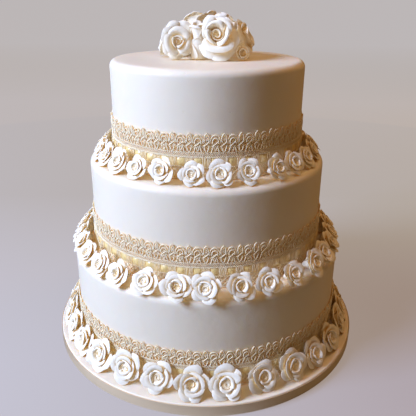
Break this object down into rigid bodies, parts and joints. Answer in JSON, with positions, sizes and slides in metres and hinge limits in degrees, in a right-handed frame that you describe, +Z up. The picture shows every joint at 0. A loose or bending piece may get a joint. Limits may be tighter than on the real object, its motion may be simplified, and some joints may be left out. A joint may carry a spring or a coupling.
{
  "type": "tiered wedding cake",
  "caption": "Round tiered wedding cake in smooth ivory icing on an iced round board, with lace and ribbon bands, rings of sugar roses at each tier's foot and a dome of roses on top.",
  "frame": {"origin": "middle of the board's underside, where the cake's axis meets what it stands on", "axes": "+Z up along the cake's axis; the front, with the topper's largest rose, looks along -Y; +X to the right of it"},
  "size_m": [0.356, 0.356, 0.3586],
  "materials": {
    "icing": "smooth ivory sugar paste, soft sheen",
    "board_icing": "smooth ivory sugar paste, soft sheen",
    "sugar_rose": "hand-shaped sugar paste, satin",
    "cotton_lace": "matte cotton thread",
    "yellow_satin": "satin ribbon",
    "board_satin": "satin ribbon"
  },
  "bodies": {
    "root": {"cake_board": "board_icing", "board_ribbon": "board_satin", "tier_bottom": "icing", "lace_bottom": "cotton_lace", "lace_ribbon_bottom": "yellow_satin", "tier_middle": "icing", "lace_middle": "cotton_lace", "lace_ribbon_middle": "yellow_satin", "tier_top": "icing", "lace_top": "cotton_lace", "lace_ribbon_top": "yellow_satin", "rose_bottom_01": "sugar_rose", "rose_bottom_02": "sugar_rose", "rose_bottom_03": "sugar_rose", "rose_bottom_04": "sugar_rose", "rose_bottom_05": "sugar_rose", "rose_bottom_06": "sugar_rose", "rose_bottom_07": "sugar_rose", "rose_bottom_08": "sugar_rose", "rose_bottom_09": "sugar_rose", "roses_bottom_left": "sugar_rose", "roses_bottom_right": "sugar_rose", "rose_middle_01": "sugar_rose", "rose_middle_02": "sugar_rose", "rose_middle_03": "sugar_rose", "rose_middle_04": "sugar_rose", "rose_middle_05": "sugar_rose", "rose_middle_06": "sugar_rose", "rose_middle_07": "sugar_rose", "rose_middle_08": "sugar_rose", "rose_middle_09": "sugar_rose", "rose_middle_10": "sugar_rose", "rose_middle_11": "sugar_rose", "roses_middle_left": "sugar_rose", "roses_middle_right": "sugar_rose", "rose_top_01": "sugar_rose", "rose_top_02": "sugar_rose", "rose_top_03": "sugar_rose", "rose_top_04": "sugar_rose", "rose_top_05": "sugar_rose", "rose_top_06": "sugar_rose", "rose_top_07": "sugar_rose", "rose_top_08": "sugar_rose", "rose_top_09": "sugar_rose", "roses_top_left": "sugar_rose", "roses_top_right": "sugar_rose", "topper_bud_right": "sugar_rose", "topper_bud_upper": "sugar_rose", "topper_rose_back": "sugar_rose", "topper_rose_back_left": "sugar_rose", "topper_rose_large": "sugar_rose", "topper_rose_left": "sugar_rose", "topper_rose_low_right": "sugar_rose", "topper_rose_outer_left": "sugar_rose", "topper_rose_right": "sugar_rose", "topper_rose_small": "sugar_rose", "topper_rose_standing": "sugar_rose", "topper_rose_upper": "sugar_rose", "topper_rose_upper_back": "sugar_rose"}
  },
  "joints": []
}
